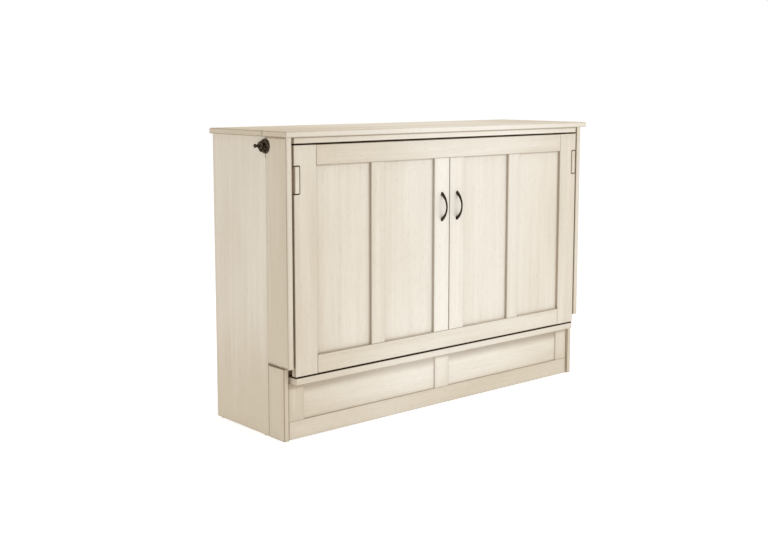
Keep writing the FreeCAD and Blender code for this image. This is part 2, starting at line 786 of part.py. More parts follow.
keepers = []
plate_screws = []
keeper_screws = []
for side in sides:
    sign = "-" if side == "left" else ""
    plate_face = "half_width + latch_plate_thickness"
    plate_x = low_corner(side, "half_width", plate_face)
    hub_low = f"{plate_face} + latch_side_gap"
    hub_high = f"{hub_low} + latch_hub_height"
    hook_high = f"{hub_low} + hook_thickness"

    # One round plate, sawn at the seam; its rear half runs out in a tail under the knob.
    rear_disc = latch_rod(f"{side}_rear_disc", side, "latch_plate_radius", "half_width", plate_face,
                          "front_depth")
    before_seam = block(f"{side}_before_seam", "latch_plate_thickness",
                        "latch_plate_radius + seam_gap / 2 + running_clearance", "2 * latch_plate_radius",
                        plate_x, "front_depth - latch_plate_radius", "latch_z - latch_plate_radius")
    root_y = "front_depth + latch_plate_radius * tail_lean_share"
    root_half = "latch_plate_radius * tail_upright_share"
    tip_y = "knob_y + latch_tail_radius * tail_lean_share"
    tip_half = "latch_tail_radius * tail_upright_share"
    tail = prism(f"{side}_latch_tail", "YZ_Plane", [
        (root_y, f"-{root_half}"), (tip_y, f"-{tip_half}"), (tip_y, tip_half), (root_y, root_half),
    ], "latch_plate_thickness")
    place(tail, plate_x, "0", "latch_z")
    tip = latch_rod(f"{side}_latch_tip", side, "latch_tail_radius", "half_width", plate_face, "knob_y")
    post = latch_rod(f"{side}_latch_post", side, "latch_post_radius", "half_width", hub_high)
    keep(fuse(f"{side}_latch_plate",
              [cut(f"{side}_rear_half", rear_disc, before_seam), tail, tip, post]))

    ring = cut(f"{side}_hook_ring",
               latch_rod(f"{side}_hook_disc", side, "hook_outer_radius", hub_low, hook_high,
                         start=hook_start_degrees, span=hook_span_degrees),
               latch_rod(f"{side}_hook_hollow", side, "hook_inner_radius", hub_low, hook_high))
    arm = latch_rod(f"{side}_hook_arm", side, "(hook_inner_radius + hook_outer_radius) / 2",
                    hub_low, hook_high, start=arm_start_degrees, span=arm_span_degrees)
    hub = latch_rod(f"{side}_latch_hub", side, "latch_hub_radius", hub_low, hub_high)
    arm_to_knob = block(f"{side}_knob_arm", "latch_hub_height", "knob_reach", "2 * knob_neck_radius",
                        low_corner(side, hub_low, hub_high), "latch_y", "latch_z - knob_neck_radius")
    neck = latch_rod(f"{side}_knob_neck", side, "knob_neck_radius", hub_low, f"{hub_low} + knob_rise",
                     "knob_y")
    ball = doc.addObject("Part::Sphere", f"{side}_knob_ball")
    ball.Placement.Rotation = neck.Placement.Rotation
    bind(ball, Radius="knob_radius")
    place(ball, f"{sign}({hub_low} + knob_rise)", "knob_y", "latch_z")
    lever_whole = fuse(f"{side}_lever_whole", [ring, arm, hub, arm_to_knob, neck, ball])
    lever_bore = latch_rod(f"{side}_lever_bore", side, "latch_post_radius + running_clearance",
                           hub_low, hub_high)
    keep(cut(f"{side}_latch_lever", lever_whole, lever_bore))

    front_disc = latch_rod(f"{side}_front_disc", side, "latch_plate_radius", "half_width", plate_face,
                           "front_depth")
    behind_seam = block(f"{side}_behind_seam", "latch_plate_thickness",
                        "latch_plate_radius + seam_gap / 2", "2 * latch_plate_radius",
                        plate_x, "front_rear_y", "latch_z - latch_plate_radius")
    rib = block(f"{side}_keeper_rib", "latch_plate_thickness + keeper_rib_height", "keeper_rib_thickness",
                "keeper_rib_length", low_corner(side, "half_width", f"{plate_face} + keeper_rib_height"),
                "front_rear_y - keeper_rib_thickness", "latch_z - keeper_rib_length / 2")
    keepers.append(fuse(f"{side}_keeper", [cut(f"{side}_front_half", front_disc, behind_seam), rib]))

    head_high = f"{plate_face} + screw_head"
    for name, screw_y, level in (("upper", "latch_y", "latch_z + plate_screw_rise"),
                                 ("tail", "latch_y + tail_screw_setback", "latch_z + tail_screw_rise")):
        plate_screws.append(latch_rod(f"{side}_{name}_plate_screw", side, "screw_radius",
                                      plate_face, head_high, screw_y, level))
    for name, level in (("lower", "latch_z - keeper_screw_rise"), ("upper", "latch_z + keeper_screw_rise")):
        keeper_screws.append(latch_rod(f"{side}_{name}_keeper_screw", side, "screw_radius",
                                       plate_face, head_high, "front_depth - keeper_screw_inset", level))
group("keepers", keepers)
group("latch_plate_screws", plate_screws)
group("keeper_screws", keeper_screws)

# Folding mattress: three foam sections stand folded on the fixed slats.
for index, name in enumerate(section_names):
    section = board(f"mattress_{name}", "mattress_width", "mattress_thickness", "mattress_length")
    soften(section, "mattress_round", lambda middle, along, box: True)
    place(section, "-mattress_width / 2", f"mattress_y + {index} * mattress_pitch", "mattress_bottom")
    keep(section)

doc.recompute()

faults = []
for item in doc.Objects:
    if "Invalid" in item.State or "Error" in item.State:
        faults.append(f"{item.Label}: {item.State}")
for item in sub_parts:
    if item.Shape.isNull() or not item.Shape.isValid() or not item.Shape.Solids:
        faults.append(f"{item.Label}: no valid solid")
if faults:
    raise RuntimeError("; ".join(faults))

os.makedirs("parts", exist_ok=True)
for item in sub_parts:
    item.Shape.exportStep(f"parts/{item.Label}.step")
print(len(sub_parts), "sub-parts written")
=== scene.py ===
# Cabinet bed, closed: a chest-like cabinet in buttercream paint with a brown glaze in its
# grooves, over a rolling base. The bed deck and the folded mattress are inside.
# Lengths are in metres: x runs across, y from front to back and z up.
import math

import bmesh
import bpy
from mathutils import Matrix, Vector


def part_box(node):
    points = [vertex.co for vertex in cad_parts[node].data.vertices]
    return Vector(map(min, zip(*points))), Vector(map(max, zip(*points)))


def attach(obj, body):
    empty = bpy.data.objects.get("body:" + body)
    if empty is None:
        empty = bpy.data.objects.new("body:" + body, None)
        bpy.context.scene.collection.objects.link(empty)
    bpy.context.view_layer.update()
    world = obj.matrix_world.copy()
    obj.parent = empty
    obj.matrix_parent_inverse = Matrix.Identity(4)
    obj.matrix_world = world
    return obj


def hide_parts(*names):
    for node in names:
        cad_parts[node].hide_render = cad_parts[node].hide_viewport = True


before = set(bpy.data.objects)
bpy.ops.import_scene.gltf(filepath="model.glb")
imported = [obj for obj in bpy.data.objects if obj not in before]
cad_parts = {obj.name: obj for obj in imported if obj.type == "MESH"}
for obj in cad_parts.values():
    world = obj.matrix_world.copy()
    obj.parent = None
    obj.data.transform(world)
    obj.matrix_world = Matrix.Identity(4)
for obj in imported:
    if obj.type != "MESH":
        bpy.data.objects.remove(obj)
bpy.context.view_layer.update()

# Rear cabinet: the two sides and the rear part of the top.
# Veneered boards sprayed in buttercream lacquer, then wiped with a brown glaze that stays
# in the grain, along the edges and in every corner. The same brown is also laid on as
# painted shade: in joints, recesses and gaps, and under overhangs.
ACROSS, DEEP, UP = range(3)


class Signal:
    """A socket in a material. Arithmetic adds Math nodes, and node() adds any other kind."""

    def __init__(self, tree, socket=None):
        self.tree = tree
        self.socket = socket

    def node(self, kind, settings=None, sockets=None, out=0):
        """Adds a node with these settings and these values or links, and gives one output."""
        made = self.tree.nodes.new("ShaderNode" + kind)
        for name, setting in (settings or {}).items():
            setattr(made, name, setting)
        for name, given in (sockets or {}).items():
            if isinstance(given, Signal):
                self.tree.links.new(given.socket, made.inputs[name])
            else:
                made.inputs[name].default_value = given
        return Signal(self.tree, made.outputs[out])

    def math(self, operation, *values):
        return self.node("Math", {"operation": operation}, dict(enumerate(values)))

    def __add__(self, other):
        return self.math("ADD", self, other)

    def __radd__(self, other):
        return self.math("ADD", other, self)

    def __sub__(self, other):
        return self.math("SUBTRACT", self, other)

    def __rsub__(self, other):
        return self.math("SUBTRACT", other, self)

    def __mul__(self, other):
        return self.math("MULTIPLY", self, other)

    def __rmul__(self, other):
        return self.math("MULTIPLY", other, self)

    def __abs__(self):
        return self.math("ABSOLUTE", self)

    def smaller(self, other):
        return self.math("MINIMUM", self, other)

    def larger(self, other):
        return self.math("MAXIMUM", self, other)

    def fade(self, start, end):
        """0 up to start and 1 past end, or the other way round, with a smooth step between."""
        limits = {"Value": self, "From Min": start, "From Max": end}
        return self.node("MapRange", {"interpolation_type": "SMOOTHSTEP"}, limits)

    def between(self, first, second):
        """The colour first where this mask is 0 or less, and second where it is 1 or more."""
        # A Mix node's sockets for numbers, vectors and colours share their names.
        factor, colour_a, colour_b, colour_out = 0, 6, 7, 2
        settings = {"data_type": "RGBA", "clamp_factor": True}
        sockets = {factor: self, colour_a: first, colour_b: second}
        return self.node("Mix", settings, sockets, colour_out)

    def parts(self):
        """The three coordinates of a place."""
        return [self.node("SeparateXYZ", None, {0: self}, axis) for axis in (ACROSS, DEEP, UP)]

    def noise(self, fineness, grain=None, stretch=1.0, detail=3.0):
        """Cloudy pattern with that many clouds to the metre, drawn out along the grain."""
        scale = [fineness] * 3
        if grain is not None:
            scale[grain] = fineness / stretch
        place = self.node("Mapping", None, {"Vector": self, "Scale": scale})
        return place.node("TexNoise", None, {"Vector": place, "Scale": 1.0, "Detail": detail})

    def cells(self, fineness, out):
        """Scattered cells, that many to the metre: the Distance from a middle, or a Color each."""
        return self.node("TexVoronoi", None, {"Vector": self, "Scale": fineness}, out)

    def relief(self, depth, strength):
        """A surface normal that follows this height, in metres at its full depth."""
        sockets = {"Height": self, "Distance": depth, "Strength": strength}
        return self.node("Bump", None, sockets)

    def feed(self, shader, socket):
        self.tree.links.new(self.socket, shader.inputs[socket])


def shade(red, green, blue):
    """A colour as it is read off a paint card, 0 to 255 (sRGB), in the shader's linear scale."""
    def channel(value):
        value = value / 255
        return value / 12.92 if value <= 0.04045 else ((value + 0.055) / 1.055) ** 2.4
    return (channel(red), channel(green), channel(blue), 1.0)


def new_finish(name):
    """An empty material, its shader and the place on the piece that its pattern follows."""
    material = bpy.data.materials.new(name)
    material.use_nodes = True
    tree = material.node_tree
    return material, tree.nodes["Principled BSDF"], Signal(tree).node("TexCoord", out="Object")


def dress(name, material):
    """Puts a material on a CAD node."""
    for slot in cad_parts[name].material_slots:
        slot.material = material


def boards_of(name):
    """Lowest and highest corner of each separate board of a node, those on the left mirrored."""
    same_point = 1e-6
    mesh = bmesh.new()
    mesh.from_mesh(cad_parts[name].data)
    bmesh.ops.remove_doubles(mesh, verts=mesh.verts, dist=same_point)
    waiting = set(mesh.verts)
    boards = set()
    while waiting:
        reached = [waiting.pop()]
        for vert in reached:
            near = {edge.other_vert(vert) for edge in vert.link_edges} & waiting
            waiting -= near
            reached.extend(near)
        # Rounded to 0.01 mm, so that a board and its mirror image count as one.
        low, high = [
            [round(outermost(vert.co[axis] for vert in reached), 5) for axis in (ACROSS, DEEP, UP)]
            for outermost in (min, max)
        ]
        if high[ACROSS] <= 0:
            low[ACROSS], high[ACROSS] = -high[ACROSS], -low[ACROSS]
        boards.add((tuple(low), tuple(high)))
    mesh.free()
    return sorted(boards)


wiped_cream = shade(247, 243, 234)
glazed_cream = shade(214, 202, 181)
# The glaze's brown, which also serves as painted shade in joints, recesses, gaps and under
# overhangs.
glaze_and_shade_brown = shade(128, 106, 80)
# Glaze stays in a line along an edge and thins out beside it in a haze.
fine_line = 0.0024
edge_line = 0.0040
broad_line = 0.0090
glaze_haze = 0.035
# How far from a board, a face or a front rim a point still counts as on it.
board_skin = 0.0006
face_skin = 0.0030
rim_depth = 0.0040
# The stretch, a little to the right of the middle, where the paint is palest; it darkens towards
# the ends.
palest_middle = 0.10
palest_half = 0.20
# The seam between cabinet and front section, and a distance that takes an edge out of reach.
seam_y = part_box("left_side")[0].y
seam_width = 0.003
seam_below_latch = 0.020
seam_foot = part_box("keepers")[0].z - seam_below_latch
seam_fade = 0.008
far_off = 1.0


class GlazedPaint:
    """Cream lacquer on one node's boards, the brown glaze that wiping left on them, and painted
    shade in the same brown.
    """

    def __init__(self, name, grain, glaze, paler_middle=False):
        """glaze is how much lies on the faces; with a paler middle there is less of it towards the
        cabinet's middle.
        """
        self.name = name
        self.material, self.shader, place = new_finish(name + "_paint")
        self.x, self.y, self.z = place.parts()
        self.clouds = place.noise(5.5, grain, stretch=5.0, detail=4.0)
        self.streaks = place.noise(48.0, grain, stretch=26.0)
        self.pores = place.noise(420.0, grain, stretch=14.0, detail=2.0)
        self.specks = place.noise(210.0, detail=2.0)
        if paler_middle:
            beside = (abs(self.x - palest_middle) - palest_half).larger(0.0)
            near_floor = self.z.fade(0.14, 0.05)
            film = beside * 0.9 + near_floor * 0.3 + glaze
        else:
            low_down = self.z.fade(0.55, 0.10)
            film = low_down * 0.4 + glaze
        self.film = film + (self.clouds - 0.5) * 0.8 + (self.streaks - 0.5) * 0.5
        self.held = None

    def leave(self, glaze):
        """Adds glaze, painted shade included, where it is thicker than what is held there already.
        """
        self.held = glaze if self.held is None else self.held.larger(glaze)

    def rub_into_edges(self, share=0.2, line=fine_line, parted=False):
        """Leaves a line of glaze, also painted shade at joints, so wide along each edge, but none
        where parted boards meet at the seam.
        """
        for low, high in boards_of(self.name):
            low, high = list(low), list(high)
            if parted and abs(high[DEEP] - seam_y) < seam_width:
                high[DEEP] += far_off
            if parted and abs(low[DEEP] - seam_y) < seam_width:
                low[DEEP] -= far_off
            across, deep, up = [
                (axis - lower).smaller(upper - axis)
                for axis, lower, upper in zip((abs(self.x), self.y, self.z), low, high)
            ]
            on_board = across.smaller(deep).smaller(up).fade(-2 * board_skin, -board_skin)
            # The smallest distance is to the face itself, the next one to its nearest edge.
            edge = across.smaller(deep).larger(across.larger(deep).smaller(up))
            edge = edge + (self.streaks - 0.5) * line
            rubbed = edge.fade(line, 0.3 * line) * share
            haze = edge.fade(glaze_haze, 0.0) * self.clouds * 0.10
            self.leave((rubbed + haze) * on_board)

    def paint_rim_highlight(self, front, share):
        """Lightens a board's narrow front face as a painted highlight, and takes that share of the
        edge line off there.
        """
        on_rim = (self.y - front).fade(rim_depth, 0.5 * rim_depth)
        self.film = self.film - on_rim * 0.35
        self.held = self.held * (1 - on_rim * share)

    def darken_walls(self, front, share, reach):
        """Leaves glaze and painted shade on the walls behind a front face, so far back."""
        behind = self.y - front
        on_wall = behind.fade(0.4 * face_skin, face_skin) * behind.fade(reach, 0.6 * reach)
        self.leave(on_wall * share)

    def darken_seam(self):
        """Paints shade into the seam between cabinet and front section, which shows from the latch
        up.
        """
        gap = abs(self.y - seam_y).fade(seam_width, 0.5 * seam_width)
        self.leave(gap * self.z.fade(seam_foot, seam_foot + seam_fade) * 0.8)

    def settle_in_seams(self, face, uprights, levels=()):
        """Leaves glaze on a backing's face, along boards that stand on it at these |x| and z."""
        on_face = (self.y - face).fade(face_skin, face_skin / 3)
        for axis, spots in ((abs(self.x), uprights), (self.z, levels)):
            for spot in spots:
                gap = abs(axis - spot)
                settled = gap.fade(3.0 * fine_line, 1.2 * fine_line) * 0.26
                haze = gap.fade(glaze_haze, 0.0) * self.clouds * 0.06
                self.leave((settled + haze) * on_face)

    def paint_shadow_below(self, cover, reach, share):
        """Paints shadow below a height, as far down as the part above it would cast it."""
        cast_shadow = (cover - self.z).fade(reach, 0.35 * reach)
        uneven = 0.6 + self.clouds * 0.8
        self.leave(cast_shadow * uneven * share)

    def apply(self):
        """Lays film, pores, specks and the held glaze and painted shade over each other and dresses
        the node.
        """
        colour = self.film.between(wiped_cream, glazed_cream)
        colour = (self.pores.fade(0.56, 0.76) * 0.16).between(colour, glaze_and_shade_brown)
        colour = (self.specks.fade(0.62, 0.72) * 0.14).between(colour, glaze_and_shade_brown)
        self.held.between(colour, glaze_and_shade_brown).feed(self.shader, "Base Color")
        (0.40 + self.clouds * 0.14 + self.held * 0.15).feed(self.shader, "Roughness")
        (self.streaks + self.pores * 0.5).relief(0.0004, 0.22).feed(self.shader, "Normal")
        self.shader.inputs["Coat Weight"].default_value = 0.12
        self.shader.inputs["Coat Roughness"].default_value = 0.35
        dress(self.name, self.material)


# The sides carry more glaze than the fronts; part of that is painted shade on faces turned from the
# front light.
for upright in ("left_side", "right_side"):
    paint = GlazedPaint(upright, UP, glaze=0.62)
    paint.rub_into_edges(0.45, parted=True)
    paint.darken_seam()
    paint.apply()

paint = GlazedPaint("rear_top", ACROSS, glaze=0.36, paler_middle=True)
paint.rub_into_edges(0.55, edge_line)
paint.apply()

# Back panel: one sheet of hardboard in the sides' rebate, held by small steel nails all round.
# Smooth brown face with pressed fibres, a little longer across; the nail heads are low domes.
pale_board = shade(172, 136, 96)
brown_board = shade(164, 128, 89)
dark_fibre = shade(120, 88, 57)
hardboard, shader, place = new_finish("hardboard")
fibres = place.noise(260.0, ACROSS, stretch=1.8, detail=5.0)
patches = place.noise(7.0)
tone = patches.fade(0.30, 0.70).between(pale_board, brown_board)
tone = (fibres.fade(0.50, 0.70) * 0.50).between(tone, dark_fibre)
tone.feed(shader, "Base Color")
(0.55 + fibres * 0.2).feed(shader, "Roughness")
fibres.relief(0.0004, 0.25).feed(shader, "Normal")
dress("back_panel", hardboard)


def new_piece(name, data):
    """A new object at the origin, with its place in its mesh."""
    piece = bpy.data.objects.new(name, data)
    bpy.context.scene.collection.objects.link(piece)
    return piece


def shaped_piece(name, shape):
    """A new piece with the mesh that a bmesh holds."""
    mesh = bpy.data.meshes.new(name)
    shape.to_mesh(mesh)
    shape.free()
    return new_piece(name, mesh)


bright_nail = shade(150, 146, 140)
dull_nail = shade(112, 104, 94)
nail_inset = 0.011
columns, rows = 13, 9
head_radius, head_height = 0.0038, 0.0012
back_low, back_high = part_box("back_panel")
across_step = (back_high.x - back_low.x - 2 * nail_inset) / (columns - 1)
up_step = (back_high.z - back_low.z - 2 * nail_inset) / (rows - 1)
first_nail = Vector((back_low.x + nail_inset, back_high.y, back_low.z + nail_inset))
facing = Matrix.Rotation(-math.pi / 2, 4, "X")
heads = bmesh.new()
for column in range(columns):
    for row in range(rows):
        if column in (0, columns - 1) or row in (0, rows - 1):
            spot = first_nail + Vector((column * across_step, 0.0, row * up_step))
            bmesh.ops.create_cone(heads, cap_ends=True, segments=12, radius1=head_radius,
                                  radius2=0.7 * head_radius, depth=head_height,
                                  matrix=Matrix.Translation(spot) @ facing)
crowns = [edge for edge in heads.edges if all(end.co.y > back_high.y for end in edge.verts)]
bmesh.ops.bevel(heads, geom=crowns, offset=0.3 * head_height, segments=2, profile=0.5,
                affect="EDGES", material=-1)
nails = shaped_piece("back_nails", heads)
nail_steel, shader, place = new_finish("nail_steel")
tarnish = place.noise(400.0)
tarnish.fade(0.4, 0.7).between(bright_nail, dull_nail).feed(shader, "Base Color")
(0.35 + tarnish * 0.3).feed(shader, "Roughness")
shader.inputs["Metallic"].default_value = 0.9
nails.data.materials.append(nail_steel)
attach(nails, "rear_cabinet")

# Rails, battens, cleats, blocks, leg guides, base boards and bed slats: bare pine, screwed in
# place. Planed and lightly sealed; growth lines run along each board, with a few knots.
pale_pine = shade(229, 204, 166)
warm_pine = shade(219, 190, 148)
growth_line = shade(200, 160, 114)
fine_pore = shade(176, 134, 92)
knot_brown = shade(124, 84, 52)


def bare_pine(name, grain):
    material, shader, place = new_finish(name + "_pine")
    drift = place.noise(3.0, grain, stretch=3.0)
    growth = place.noise(38.0, grain, stretch=30.0, detail=4.0)
    fine = place.noise(300.0, grain, stretch=40.0, detail=2.0)
    turns = (growth * 7.0 + drift * 4.0) * math.pi
    rings = turns.math("SINE", turns)
    knots = place.cells(7.0, "Distance")
    colour = drift.fade(0.35, 0.65).between(pale_pine, warm_pine)
    colour = (rings.fade(0.2, 1.0) * 0.55).between(colour, growth_line)
    colour = (fine.fade(0.55, 0.80) * 0.35).between(colour, fine_pore)
    colour = (knots.fade(0.10, 0.05) * 0.75).between(colour, knot_brown)
    colour.feed(shader, "Base Color")
    (0.52 + fine * 0.18).feed(shader, "Roughness")
    (fine + rings * 0.3).relief(0.0003, 0.2).feed(shader, "Normal")
    dress(name, material)


for lengthwise in ("back_rails", "battens", "fixed_slats", "middle_slats", "base_slats",
                   "base_rear_board"):
    bare_pine(lengthwise, ACROSS)
for fore_and_aft in ("leg_guides", "base_boards", "caster_blocks"):
    bare_pine(fore_and_aft, DEEP)
for post in ("corner_cleats", "corner_blocks"):
    bare_pine(post, UP)

# Front section: front part of the top, two wings and the apron strip.
# The same painted board as the cabinet, parted from it by a seam through top and sides.
# Heavier glaze than the fronts, partly painted shade on faces turned from the front light.
for upright in ("left_wing", "right_wing"):
    paint = GlazedPaint(upright, UP, glaze=0.95)
    paint.rub_into_edges(0.7, broad_line, parted=True)
    # Painted highlight on the wing's narrow front face.
    paint.paint_rim_highlight(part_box(upright)[0].y, share=0.85)
    paint.darken_seam()
    paint.apply()

paint = GlazedPaint("front_top", ACROSS, glaze=0.36, paler_middle=True)
paint.rub_into_edges(0.55, edge_line)
# Painted highlight on the top's front edge.
paint.paint_rim_highlight(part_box("front_top")[0].y, share=0.3)
paint.apply()

paint = GlazedPaint("apron", ACROSS, glaze=0.08, paler_middle=True)
paint.rub_into_edges(0.8)
# Painted shadow of the top's overhang on the apron's upper part.
paint.paint_shadow_below(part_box("apron")[1].z, reach=0.0065, share=0.8)
paint.apply()

# Front panel: a frame of flat stiles and rails planted on a backing board.
# It looks like two doors; the frame's inner walls are dark with glaze and with painted shade.
panel_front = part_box("left_stile")[0].y
frame_wall = 0.05
for upright, glaze in (("left_stile", 0.08), ("right_stile", 0.22), ("mid_stiles", 0.28),
                       ("centre_stiles", 0.06)):
    paint = GlazedPaint(upright, UP, glaze, paler_middle=True)
    paint.rub_into_edges()
    paint.darken_walls(panel_front, share=0.62, reach=frame_wall)
    paint.apply()

for rail, glaze, wall_share in (("top_rail", 0.34, 0.55), ("bottom_rail", 0.32, 0.05)):
    paint = GlazedPaint(rail, ACROSS, glaze, paler_middle=True)
    paint.rub_into_edges(0.8)
    paint.darken_walls(panel_front, share=wall_share, reach=frame_wall)
    paint.apply()

stile_edges = [boards_of("centre_stiles")[0][1][ACROSS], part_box("right_stile")[0].x]
for low, high in boards_of("mid_stiles"):
    stile_edges += [low[ACROSS], high[ACROSS]]
paint = GlazedPaint("front_backing", UP, glaze=0.22, paler_middle=True)
paint.rub_into_edges()
# The line under the top rail is glaze and also painted shade of the rail above.
paint.settle_in_seams(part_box("front_backing")[0].y, stile_edges, [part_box("top_rail")[0].z])
paint.apply()

# Legs: two painted boards that slide out through the notches in the outer stiles.
# Only their rounded ends show while the bed is closed; the sides just behind the ends carry painted
# shade, for the dark gap round each end.
leg_end = 0.030
for leg in ("left_leg", "right_leg"):
    paint = GlazedPaint(leg, DEEP, glaze=0.6)
    paint.rub_into_edges(0.4)
    paint.darken_walls(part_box(leg)[0].y, share=0.6, reach=leg_end)
    paint.apply()

# Rolling base: side returns, a low frame on its own backing, and the ledge that the front
# panel is hinged to. Painted and glazed as the front panel is.
base_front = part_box("base_bottom_rail")[0].y
under_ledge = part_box("ledge")[0].z
# Heavier glaze than the fronts, partly painted shade on faces turned from the front light.
for upright in ("base_left_return", "base_right_return"):
    paint = GlazedPaint(upright, UP, glaze=0.95)
    paint.rub_into_edges(0.6, edge_line)
    paint.apply()

paint = GlazedPaint("base_stiles", UP, glaze=0.28, paler_middle=True)
paint.rub_into_edges()
paint.darken_walls(base_front, share=0.45, reach=frame_wall)
# Painted shadow cast by the ledge on the stiles below it.
paint.paint_shadow_below(under_ledge, reach=0.032, share=0.50)
paint.apply()

paint = GlazedPaint("base_bottom_rail", ACROSS, glaze=0.43)
paint.rub_into_edges(0.5)
paint.darken_walls(base_front, share=0.30, reach=frame_wall)
paint.apply()

paint = GlazedPaint("base_front_backing", ACROSS, glaze=0.20, paler_middle=True)
paint.rub_into_edges()
paint.settle_in_seams(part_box("base_front_backing")[0].y, [boards_of("base_stiles")[0][1][ACROSS]])
# Painted shadow cast by the ledge on the backing below it.
paint.paint_shadow_below(under_ledge, reach=0.058, share=0.50)
paint.apply()

paint = GlazedPaint("ledge", ACROSS, glaze=0.28, paler_middle=True)
paint.rub_into_edges(0.5)
# Painted shade on the ledge's top, in the gap under the front panel.
paint.paint_shadow_below(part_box("ledge")[1].z, reach=0.0015, share=1.2)
paint.apply()

# Pulls, side latches and the long hinge: cast or pressed in a dark bronze finish, screwed on.
# Nearly black in the hollows, rubbed to copper brown where hands and cloths reach.
bronze_hollow = shade(46, 38, 31)
copper_brown = shade(152, 128, 96)
worn_black = shade(24, 20, 16)
# Near black and dull for the hinge, which also paints the shade of the gap it sits in.
hinge_gap_shade_black = shade(16, 12, 9)


def dark_bronze(name, rubbed, hollow=bronze_hollow, metal=0.75, gloss=0.5):
    material, shader, place = new_finish(name + "_bronze")
    mottle = place.noise(230.0, detail=4.0)
    wear = place.noise(60.0)
    colour = (mottle.fade(0.48, 0.62) * rubbed).between(hollow, copper_brown)
    colour = (wear.fade(0.45, 0.75) * 0.4).between(colour, worn_black)
    colour.feed(shader, "Base Color")
    (0.38 + mottle * 0.22).feed(shader, "Roughness")
    mottle.relief(0.0004, 0.35).feed(shader, "Normal")
    shader.inputs["Metallic"].default_value = metal
    shader.inputs["Specular IOR Level"].default_value = gloss
    dress(name, material)


for pull in ("left_pull", "right_pull"):
    dark_bronze(pull, rubbed=0.25)
for piece in ("left_latch_plate", "right_latch_plate", "latch_plate_screws", "keeper_screws"):
    dark_bronze(piece, rubbed=0.85)
for lever in ("left_latch_lever", "right_latch_lever"):
    dark_bronze(lever, rubbed=0.6)
dark_bronze("keepers", rubbed=0.35)
for piece in ("hinge_lower_leaf", "hinge_upper_leaf", "hinge_pin"):
    dark_bronze(piece, rubbed=0.0, hollow=hinge_gap_shade_black, metal=0.0, gloss=0.05)

# Runners, caster forks and axles: rolled and pressed steel, bright zinc plated.
# The plating shows faint spangle and fine lines from the rolls.
bright_zinc = shade(186, 189, 192)
dull_zinc = shade(150, 154, 160)


def zinc_steel(name, rolled):
    material, shader, place = new_finish(name + "_zinc")
    lines = place.noise(500.0, rolled, stretch=60.0, detail=2.0)
    spangle = place.cells(110.0, "Color")
    fleck = spangle.node("RGBToBW", None, {0: spangle})
    (fleck * 0.5).between(bright_zinc, dull_zinc).feed(shader, "Base Color")
    (0.28 + fleck * 0.12 + lines * 0.08).feed(shader, "Roughness")
    lines.relief(0.0002, 0.15).feed(shader, "Normal")
    shader.inputs["Metallic"].default_value = 1.0
    dress(name, material)


for runner in ("outer_runners", "middle_runners", "inner_runners"):
    zinc_steel(runner, DEEP)
zinc_steel("caster_forks", UP)
zinc_steel("caster_axles", ACROSS)

# Caster wheels and floor glides: grey rubber treads and turned nylon feet.
# The treads are scuffed from the floor; the nylon is a little cloudy.
dark_rubber, scuffed_rubber = shade(62, 62, 64), shade(96, 95, 94)
cloudy_nylon, pale_nylon = shade(205, 200, 188), shade(224, 220, 210)


def moulded(name, dark, light, roughness):
    material, shader, place = new_finish(name + "_moulded")
    scuffs = place.noise(180.0, detail=5.0)
    scuffs.fade(0.42, 0.70).between(dark, light).feed(shader, "Base Color")
    (roughness + scuffs * 0.25).feed(shader, "Roughness")
    scuffs.relief(0.0003, 0.25).feed(shader, "Normal")
    dress(name, material)


for wheel in ("left_front_wheel", "left_rear_wheel", "right_front_wheel", "right_rear_wheel"):
    moulded(wheel, dark_rubber, scuffed_rubber, roughness=0.55)
moulded("glides", cloudy_nylon, pale_nylon, roughness=0.35)

# Mattress: three foam slabs folded upright behind the front panel.
# Each wears a quilted knit cover, sewn through in diamonds, with piping round both faces.
sections = ("mattress_front", "mattress_middle", "mattress_rear")
slab_low, slab_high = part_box(sections[0])
slab_size = slab_high - slab_low
loft = 0.012
rim = 0.020
knit_voxel = 0.011
seam_reach = 0.55 * knit_voxel
swell_frames = 20
quilts_across = 9
quilt_pitch = slab_size.x / quilts_across
stitch_length = 0.012
thread_reach = 0.0016
dip_reach = 0.011
border_fade = 0.002
piping_radius = 0.0035
piping_inset = 0.004
piping_corner = 0.030
piping_depth = 1.6 * loft
knit_white = shade(243, 240, 233)
knit_cream = shade(237, 233, 224)
loop_shadow = shade(205, 198, 184)
dip_shadow = shade(206, 198, 182)
quilt_thread = shade(188, 178, 158)
piping_tan = shade(176, 164, 142)
piping_shadow = shade(150, 138, 116)


def worked_mesh(piece):
    """The mesh of a working piece with its modifiers worked in; the piece itself is taken away."""
    graph = bpy.context.evaluated_depsgraph_get()
    mesh = bpy.data.meshes.new_from_object(piece.evaluated_get(graph))
    bpy.data.objects.remove(piece)
    return mesh


def foam_slab():
    """A slab about the origin with eased edges, smaller all round by what the cover swells."""
    shape = bmesh.new()
    bmesh.ops.create_cube(shape, size=1.0)
    bmesh.ops.scale(shape, verts=shape.verts, vec=slab_size - Vector((loft,) * 3) * 2)
    bmesh.ops.bevel(shape, geom=shape.edges[:], offset=rim, segments=4, profile=0.5,
                    affect="EDGES", material=-1)
    slab = shaped_piece("foam_slab", shape)
    evened = slab.modifiers.new("even", "REMESH")
    evened.mode = "VOXEL"
    evened.voxel_size = knit_voxel
    return worked_mesh(slab)


def seam_distance(x, z):
    """How far a point of a face is from the nearest line of the diamond quilting."""
    along = [(x + z) / quilt_pitch, (x - z) / quilt_pitch]
    return min(abs(turn - round(turn)) for turn in along) * quilt_pitch / math.sqrt(2)


def sewn(place):
    """Whether the thread or the piping seam holds the cover at this point."""
    half = slab_size / 2 - Vector((loft,) * 3)
    on_face = abs(place.y) > half.y - knit_voxel
    near_rim = min(half.x - abs(place.x), half.z - abs(place.z)) < rim
    return on_face and (near_rim or seam_distance(place.x, place.z) < seam_reach)


